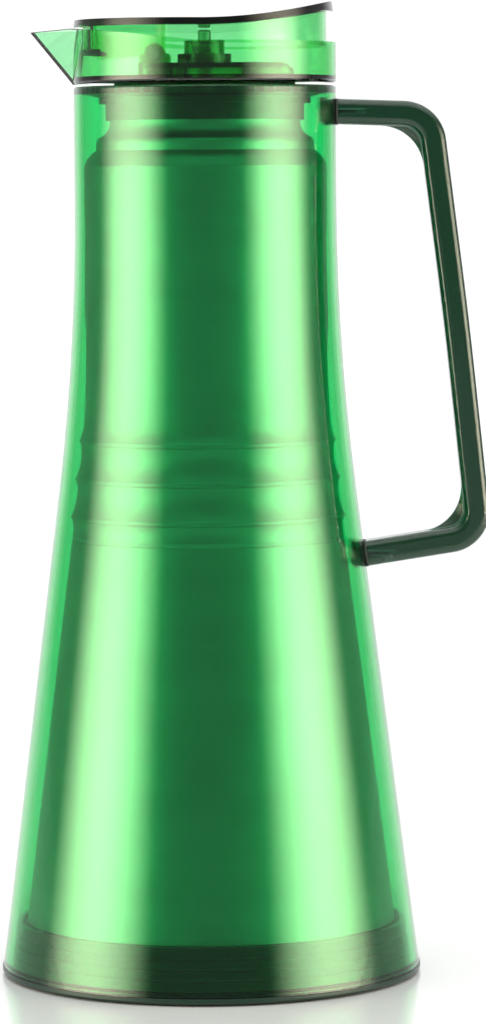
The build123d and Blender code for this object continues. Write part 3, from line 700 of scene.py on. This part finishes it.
def rounded(corners: Section, radius: float, steps: int = 4) -> Section:
    """Rounds every corner of a closed outline.

    Args:
        corners: the outline's corners.
        radius: rounding, made smaller where a side is short.
        steps: spans of each rounding.

    Returns:
        The outline's points.
    """
    points: Section = []
    for number, corner in enumerate(corners):
        here = Vector(corner)
        before, after = Vector(corners[number - 1]), Vector(corners[(number + 1) % len(corners)])
        cut = min(radius, (before - here).length * 0.45, (after - here).length * 0.45)
        first = here + (before - here).normalized() * cut
        last = here + (after - here).normalized() * cut
        for step in range(steps + 1):
            share = step / steps
            point = first * (1 - share) ** 2 + here * 2 * share * (1 - share) + last * share**2
            points.append((point.x, point.y))
    return points


def wavy(start: Point, end: Point, depth: float, waves: int, side: Point) -> Section:
    """Points along a line that dips in waves, as the lips of a seal do.

    Args:
        start: first point, at full height.
        end: last point, at full height.
        depth: how deep the dips are.
        waves: number of dips.
        side: direction in which they dip.

    Returns:
        The points, without the first and last.
    """
    count = waves * WAVE_STEPS
    points = []
    for step in range(1, count):
        share = step / count
        dip = depth * sin(pi * share * waves) ** 2
        across = start[0] + (end[0] - start[0]) * share + side[0] * dip
        up = start[1] + (end[1] - start[1]) * share + side[1] * dip
        points.append((across, up))
    return points


# ---- soft pieces


class SealShape(Enum):
    """How a turned seal meets its neighbours."""

    LIPPED_WASHER = "lips on its flat faces"
    LIPPED_BAND = "lips on its round face"
    FOAM_RING = "plain ring with soft corners"


@dataclass
class TurnedSeal:
    """A soft ring about the jug's axis, in the space that its node holds."""

    node: str
    body: str
    shape: SealShape
    finish: Finish = Finish.RUBBER
    slot: str = "rubber"
    lips: int = 2
    lip_depth: float = 0.00018
    corner: float = 0.00025

    def section(self, space: RingSpace) -> Section:
        """Returns the ring's section."""
        a, b = (space.inner, space.low), (space.outer, space.low)
        c, d = (space.outer, space.high), (space.inner, space.high)
        if self.shape is SealShape.FOAM_RING:
            return rounded([a, b, c, d], self.corner, 6)
        if self.shape is SealShape.LIPPED_WASHER:
            lower = wavy(a, b, self.lip_depth, self.lips, (0.0, 1.0))
            upper = wavy(c, d, self.lip_depth, self.lips, (0.0, -1.0))
            return [a, *lower, b, c, *upper, d]
        outer = wavy(b, c, self.lip_depth, self.lips, (-1.0, 0.0))
        return [a, b, *outer, c, d]

    def build(self, finishes: Finishes) -> None:
        """Makes the seal and puts it in its node's place."""
        piece = turned(self.node + "_moulded", self.section(RingSpace.of(self.node)))
        finishes.place(piece, self.finish, self.body, self.slot, self.node)


@dataclass
class FootPad:
    """Soft pad under the base, with round grooves that grip the table."""

    node: str = "foot_pad"
    land: float = 0.0026
    groove: float = 0.0018
    groove_depth: float = 0.0005
    edge: float = 0.0004

    def build(self, finishes: Finishes) -> None:
        """Makes the pad and puts it in its node's place."""
        space = RingSpace.of(self.node)
        under: Section = [(0.0, space.low)]
        radius = self.land
        while radius + self.groove + self.land < space.outer:
            ramp = self.groove_depth / 2
            floor = space.low + self.groove_depth
            under += [(radius, space.low), (radius + ramp, floor)]
            under += [(radius + self.groove - ramp, floor), (radius + self.groove, space.low)]
            radius += self.groove + self.land
        rim = [
            (space.outer - self.edge, space.low),
            (space.outer - self.edge * 0.3, space.low + self.edge * 0.3),
            (space.outer, space.low + self.edge),
            (space.outer, space.high),
            (0.0, space.high),
        ]
        piece = turned("foot_pad_grooved", under + rim)
        finishes.place(piece, Finish.RUBBER, "jug", "rubber", self.node)


@dataclass
class ArmGasket:
    """Soft pad between the end of a handle's arm and the shell, with a bulging rim.

    A station is a share of the way out from the hole, of the thickness and of the bulge.
    """

    node: str
    shell: ShellSurface
    corner: float = 0.0026
    bulge: float = 0.00018
    outline_steps: int = 96
    squareness: float = 6.0

    def build(self, finishes: Finishes) -> None:
        """Makes the gasket and puts it in its node's place."""
        low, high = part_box(self.node)
        middle = (low.z + high.z) / 2
        corners = node_points(self.node)
        hole = min(hypot(point.y, point.z - middle) for point in corners)
        thickness = max(point.x - self.shell.ahead(point.y, point.z) for point in corners)
        half_width, half_height = high.y - self.bulge, (high.z - low.z) / 2 - self.bulge
        stations = [(0.0, 0.0, 0.0), (0.8, 0.0, 0.0), (1.0, 0.08, 0.0), (1.0, 0.3, 0.8), (1.0, 0.5, 1.0)]
        stations += [(share, 1.0 - lift, out) for share, lift, out in reversed(stations[:-1])]
        rings = []
        for step in range(self.outline_steps):
            angle = tau * step / self.outline_steps
            edge = self.outline(angle, half_width, half_height)
            near = (hole * cos(angle), hole * sin(angle))
            out = Vector((cos(angle), sin(angle))) * self.bulge
            ring = []
            for share, lift, swell in stations:
                across = near[0] + (edge[0] - near[0]) * share + out.x * swell
                up = near[1] + (edge[1] - near[1]) * share + out.y * swell
                ahead = self.shell.ahead(across, middle + up) + thickness * lift
                ring.append(Vector((ahead, across, middle + up)))
            rings.append(ring)
        piece = loft(self.node + "_moulded", rings)
        finishes.place(piece, Finish.RUBBER, "jug", "rubber", self.node)

    def outline(self, angle: float, half_width: float, half_height: float) -> Point:
        """Returns the point of the rounded oblong in a direction."""
        across = abs(cos(angle) / half_width) ** self.squareness
        up = abs(sin(angle) / half_height) ** self.squareness
        reach = (across + up) ** (-1 / self.squareness)
        return reach * cos(angle), reach * sin(angle)


@dataclass
class SpoutSeal:
    """Soft strip under the cap's front skirt, with a thin lip on its lower edge."""

    node: str = "spout_seal"
    lip_depth: float = 0.0003

    def build(self, finishes: Finishes) -> None:
        """Makes the strip and puts it in its node's place."""
        space = RingSpace.of(self.node)
        half = asin(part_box(self.node)[1].y / space.outer)
        a, b = (space.inner, space.low), (space.outer, space.low)
        lower = wavy(a, b, self.lip_depth, 2, (0.0, 1.0))
        section = [a, *lower, b, (space.outer, space.high), (space.inner, space.high)]
        piece = turned("spout_seal_moulded", section, pi - half, 2 * half)
        finishes.place(piece, Finish.RUBBER, "cap", "rubber", self.node)


# ---- fasteners


@dataclass
class CrossScrew:
    """Countersunk screw with a cross recess and a rolled thread, made head up at the origin."""

    length: float
    head_radius: float
    shank_radius: float
    head_height: float
    pitch: float = 0.0008
    thread_depth: float = 0.00022
    recess_width: float = 0.0009
    recess_depth: float = 0.0007
    recess_share: float = 0.72
    face_share: float = 0.97
    steps: int = 40
    head_steps: int = 14

    @classmethod
    def fitting(cls, length: float, width: float, head_share: float) -> "CrossScrew":
        """Sizes a screw from its length, its head's width and the head's share of the length."""
        return cls(length, width / 2, width / 2 * SHANK_SHARE, length * head_share)

    def recess(self, across: float, along: float) -> float:
        """Returns how deep the cross recess is at a place on the head."""
        reach = self.head_radius * self.recess_share
        depth = 0.0
        for side, run in ((across, along), (along, across)):
            width = max(0.0, 1.0 - (abs(side) / (self.recess_width / 2)) ** 4)
            end = max(0.0, 1.0 - (abs(run) / reach) ** 3)
            depth = max(depth, min(width * 1.5, 1.0) * min(end * 1.4, 1.0))
        return depth * self.recess_depth

    def rings(self) -> list[list[Vector]]:
        """Returns the screw's rings from the middle of its head to its tip."""
        rings = []
        for step in range(1, self.head_steps + 1):
            radius = self.head_radius * self.face_share * step / self.head_steps
            rings.append([self.head_point(radius, turn) for turn in self.turns()])
        rings.append(self.circle(self.head_radius, -self.head_height * 0.08))
        rings.append(self.circle(self.shank_radius, -self.head_height))
        height = self.head_height * 1.4
        while height < self.length - self.pitch:
            rings.append([self.thread_point(turn, height) for turn in self.turns()])
            height += self.pitch / 8
        rings.append(self.circle(self.shank_radius - self.thread_depth, -self.length + self.pitch / 2))
        rings.append(self.circle(self.shank_radius * 0.5, -self.length))
        return rings

    def turns(self) -> list[float]:
        """Returns the angles of a ring's points."""
        return [tau * step / self.steps for step in range(self.steps)]

    def circle(self, radius: float, height: float) -> list[Vector]:
        """Returns a plain ring."""
        return [polar(radius, turn, height) for turn in self.turns()]

    def head_point(self, radius: float, turn: float) -> Vector:
        """Returns a point of the head's recessed face."""
        point = polar(radius, turn, 0.0)
        point.z = -self.recess(point.x, point.y)
        return point

    def thread_point(self, turn: float, height: float) -> Vector:
        """Returns a point of the thread's flank."""
        phase = (height / self.pitch - turn / tau) % 1.0
        crest = 1.0 - abs(phase * 2 - 1)
        radius = self.shank_radius - self.thread_depth * (1.0 - min(1.0, crest * 1.6))
        return polar(radius, turn, -height)

    def build(self, name: str, place: Matrix) -> Piece:
        """Makes the screw at a place."""
        rings = [[place @ point for point in ring] for ring in self.rings()]
        return loft(name, rings, closed=False, capped=True)


@dataclass
class SpringWire:
    """Compression spring with closed ends ground flat."""

    node: str = "valve_spring"
    turns: float = 6.0
    closed_turns: float = 1.0
    sides: int = 12
    steps_per_turn: int = 40

    def build(self, finishes: Finishes) -> None:
        """Makes the spring on the lid, in its node's place."""
        low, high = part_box(self.node)
        space = RingSpace.of(self.node)
        wire = (space.outer - space.inner) / 2
        radius = (space.outer + space.inner) / 2
        rings = []
        count = int(self.turns * self.steps_per_turn)
        for step in range(count + 1):
            turn = step / self.steps_per_turn
            height = self.height(turn, low.z + wire, high.z - wire, wire)
            angle = tau * turn
            ring = []
            for side in range(self.sides):
                round_wire = tau * side / self.sides
                out = radius + wire * cos(round_wire)
                level = min(max(height + wire * sin(round_wire), low.z), high.z)
                ring.append(polar(out, angle, level))
            rings.append(ring)
        piece = loft("valve_spring_wound", rings, closed=False, capped=True)
        finishes.place(piece, Finish.FASTENER, "lid", "fastener_steel", self.node)
        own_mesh(piece)

    def height(self, turn: float, low: float, high: float, wire: float) -> float:
        """Returns the wire's height after some turns: flat at both ends, even between them."""
        closed = 2 * wire * self.closed_turns
        if turn < self.closed_turns:
            return low + closed * turn / self.closed_turns
        if turn > self.turns - self.closed_turns:
            return high - closed * (self.turns - turn) / self.closed_turns
        share = (turn - self.closed_turns) / (self.turns - 2 * self.closed_turns)
        return low + closed + (high - low - 2 * closed) * share


# ---- sub-assemblies


@dataclass
class Base:
    """Screwed-in base cup with its pad, gasket and the foam under the liner."""

    finishes: Finishes
    foam_corner: float = 0.0014

    def build(self) -> None:
        """Dresses the cup and makes its soft pieces."""
        self.finishes.dress(Finish.BASE, "base_cap")
        FootPad().build(self.finishes)
        TurnedSeal("base_gasket", "jug", SealShape.LIPPED_BAND).build(self.finishes)
        foam = TurnedSeal("liner_cushion", "jug", SealShape.FOAM_RING, Finish.FOAM, "foam")
        foam.corner = self.foam_corner
        foam.build(self.finishes)


@dataclass
class Liner:
    """Double-walled steel liner with its base plate, plug and getter."""

    finishes: Finishes

    def build(self) -> None:
        """Dresses the liner's nodes."""
        self.finishes.dress(Finish.LINER, "liner_outer_wall", "liner_base_plate", "vacuum_plug")
        self.finishes.dress(Finish.WATER_SIDE, "liner_inner_wall")
        self.finishes.dress(Finish.GETTER, "getter")


@dataclass
class Body:
    """Clear shell and the collar that holds the liner's neck in it."""

    finishes: Finishes
    neck_lip_depth: float = 0.00012

    def build(self) -> None:
        """Dresses the shell and collar, and makes the neck's gasket."""
        self.finishes.dress(Finish.SHELL, "outer_shell")
        self.finishes.dress(Finish.COLLAR, "neck_collar")
        seal = TurnedSeal("neck_gasket", "jug", SealShape.LIPPED_WASHER, lip_depth=self.neck_lip_depth)
        seal.build(self.finishes)


@dataclass
class Handle:
    """Side handle with its gaskets, anchors and screws."""

    finishes: Finishes
    shell: ShellSurface
    head_share: float = 0.075

    def build(self) -> None:
        """Dresses the bar and anchors, and makes the gaskets and screws."""
        self.finishes.dress(Finish.HANDLE, "handle", "upper_handle_anchor", "lower_handle_anchor")
        for node in ("upper_handle_gasket", "lower_handle_gasket"):
            ArmGasket(node, self.shell).build(self.finishes)
        self.build_screws()

    def build_screws(self) -> None:
        """Makes the two screws, which point out along +X from inside the shell."""
        sideways = Matrix.Rotation(radians(-90.0), 4, "Y")
        for number, (low, high) in enumerate(separate_solids("handle_screws"), 1):
            length = high.x - low.x
            middle = Vector((low.x, (low.y + high.y) / 2, (low.z + high.z) / 2))
            screw = CrossScrew.fitting(length, high.y - low.y, self.head_share)
            piece = screw.build(f"handle_screw_{number}", Matrix.Translation(middle) @ sideways)
            self.finishes.place(piece, Finish.FASTENER, "jug", "fastener_steel", "handle_screws")


@dataclass
class Lid:
    """Pour ring, stopper and deck, with the lid's gasket and screws."""

    finishes: Finishes
    head_share: float = 0.064

    def build(self) -> None:
        """Dresses the lid's nodes and makes its gasket and screws."""
        self.finishes.dress(Finish.LID, "pour_ring")
        self.finishes.dress(Finish.DECK, "deck", "spring_housing")
        self.finishes.dress(Finish.COLLAR, "stopper")
        self.finishes.dress(Finish.FASTENER, "pivot_pin")
        TurnedSeal("lid_gasket", "lid_seal", SealShape.LIPPED_WASHER).build(self.finishes)
        self.build_screws()
        SpringWire().build(self.finishes)

    def build_screws(self) -> None:
        """Makes the four screws, heads up."""
        for number, (low, high) in enumerate(separate_solids("deck_screws"), 1):
            length = high.z - low.z
            middle = Vector(((low.x + high.x) / 2, (low.y + high.y) / 2, high.z))
            screw = CrossScrew.fitting(length, high.x - low.x, self.head_share)
            piece = screw.build(f"deck_screw_{number}", Matrix.Translation(middle))
            self.finishes.place(piece, Finish.FASTENER, "lid", "fastener_steel", "deck_screws")


@dataclass
class Cap:
    """Rocker cap with the strip that closes the spout."""

    finishes: Finishes

    def build(self) -> None:
        """Dresses the cap and makes its strip."""
        self.finishes.dress(Finish.LID, "cap")
        SpoutSeal().build(self.finishes)


@dataclass
class Valve:
    """Plunger, valve disc, its seal and the clip that holds them."""

    finishes: Finishes

    def build(self) -> None:
        """Dresses the valve's nodes and makes its seal."""
        self.finishes.dress(Finish.STEM, "plunger")
        self.finishes.dress(Finish.COLLAR, "valve_disc")
        self.finishes.dress(Finish.FASTENER, "stem_clip")
        TurnedSeal("valve_seal", "plunger", SealShape.LIPPED_WASHER, lips=1).build(self.finishes)


# ---- studio


@dataclass
class Studio:
    """Pale table, a bright room that is darker on the viewer's side, two soft lights and the camera."""

    finishes: Finishes
    table_radius: float = 6.0
    table_steps: int = 96
    room_front: float = 0.19
    room_sides: float = 0.35
    room_back: float = 1.15
    room_top: float = 1.8
    front_edge: Point = (-0.7, -0.1)
    back_edge: Point = (0.68, 0.88)
    top_edge: Point = (0.45, 0.85)
    seen_white: float = 1.05
    side_width: float = 1.6
    side_height: float = 1.4
    side_middle: float = 0.15
    side_distance: float = 1.05
    side_angle: float = 68.0
    side_radiance: float = 9.0
    side_colour: Colour = (1.0, 0.92, 0.70)
    eye_height: float = 0.246
    eye_distance: float = 1.37
    aim_height: float = 0.1426
    aim_across: float = 0.0108
    field_height: float = 0.3165
    roll: float = -0.42

    def build(self) -> None:
        """Sets the stage, the light and the camera."""
        self.build_table()
        self.build_room()
        for side in (-1.0, 1.0):
            self.build_side_light(side)
        self.build_camera()
        bpy.context.scene.view_settings.view_transform = "Standard"

    def build_table(self) -> None:
        """Makes the table as a wide disc that ends out of sight."""
        mesh = bmesh.new()
        bmesh.ops.create_circle(mesh, cap_ends=True, segments=self.table_steps, radius=self.table_radius)
        table = new_piece("pale_table", mesh)
        table.data.materials.append(self.finishes.material(Finish.FLOOR))

    def build_room(self) -> None:
        """Lights the jug from behind and above, less from the viewer's side, and shows plain white."""
        world = bpy.data.worlds.new("studio")
        bpy.context.scene.world = world
        world.use_nodes = True
        world.node_tree.nodes.clear()
        wire = Wiring(world.node_tree)
        toward = wire.add("SeparateXYZ", {"Vector": wire.add("TexCoord").outputs["Generated"]}).outputs
        front = wire.spread(toward["Y"], *self.front_edge, self.room_front, self.room_sides)
        behind = wire.spread(toward["Y"], *self.back_edge, 0.0, self.room_back - self.room_sides)
        up = wire.spread(toward["Z"], *self.top_edge, 0.0, 1.0)
        lit = wire.add("Mix", {0: up, 2: wire.maths("ADD", front, behind), 3: self.room_top}).outputs[0]
        seen = wire.add("LightPath").outputs["Is Camera Ray"]
        strength = wire.add("Mix", {0: seen, 2: lit, 3: self.seen_white}).outputs[0]
        room = wire.add("Background", {"Color": (1.0, 1.0, 1.0), "Strength": strength})
        sink = wire.add("OutputWorld")
        wire.feed(sink.inputs["Surface"], room.outputs[0])

    def build_side_light(self, side: float) -> None:
        """Makes one large soft light beside the jug, facing its axis."""
        lamp = bpy.data.lights.new("side_softbox", "AREA")
        lamp.shape = "RECTANGLE"
        lamp.size = self.side_width
        lamp.size_y = self.side_height
        lamp.color = self.side_colour
        lamp.energy = self.side_radiance * pi * self.side_width * self.side_height
        self.soften(lamp)
        angle = radians(self.side_angle)
        holder = bpy.data.objects.new("side_softbox", lamp)
        bpy.context.scene.collection.objects.link(holder)
        spot = Vector((side * sin(angle), -cos(angle), 0.0)) * self.side_distance
        spot.z = self.side_middle
        aim = Vector((0.0, 0.0, spot.z))
        turn = (spot - aim).to_track_quat("Z", "Y").to_matrix().to_4x4()
        holder.matrix_world = Matrix.Translation(spot) @ turn
        holder.visible_camera = False

    def soften(self, lamp: bpy.types.AreaLight) -> None:
        """Makes a lamp fade out towards all its sides, as a diffuser does."""
        lamp.use_nodes = True
        tree = lamp.node_tree
        tree.nodes.clear()
        wire = Wiring(tree)
        place = wire.add("NewGeometry").outputs["Parametric"]
        shares = wire.add("SeparateXYZ", {"Vector": place}).outputs
        waves = [wire.maths("SINE", wire.maths("MULTIPLY", shares[axis], pi)) for axis in "XY"]
        level = wire.maths("POWER", wire.maths("MULTIPLY", *waves), 2.0)
        glow = wire.add("Emission", {"Strength": level})
        wire.feed(wire.add("OutputLight").inputs["Surface"], glow.outputs[0])

    def build_camera(self) -> None:
        """Sets the camera nearly level with the neck, looking slightly down."""
        lens = bpy.data.cameras.new("camera")
        eye = Vector((self.aim_across, -self.eye_distance, self.eye_height))
        aim = Vector((self.aim_across, 0.0, self.aim_height))
        lens.lens = lens.sensor_width * (eye - aim).length / self.field_height
        holder = bpy.data.objects.new("camera", lens)
        turn = (aim - eye).to_track_quat("-Z", "Y").to_matrix().to_4x4()
        tilt = Matrix.Rotation(radians(self.roll), 4, "Z")
        holder.matrix_world = Matrix.Translation(eye) @ turn @ tilt
        bpy.context.scene.collection.objects.link(holder)
        bpy.context.scene.camera = holder


def main() -> None:
    """Builds the jug's looks and the studio."""
    logging.basicConfig(level=logging.INFO, format="%(message)s")
    finishes = Finishes()
    shell = ShellSurface()
    assemblies: list[object] = [
        Base(finishes),
        Liner(finishes),
        Body(finishes),
        Handle(finishes, shell),
        Lid(finishes),
        Cap(finishes),
        Valve(finishes),
        Studio(finishes),
    ]
    for assembly in assemblies:
        assembly.build()
        LOG.info("%s: done", type(assembly).__name__)


if __name__ == "__main__":
    main()
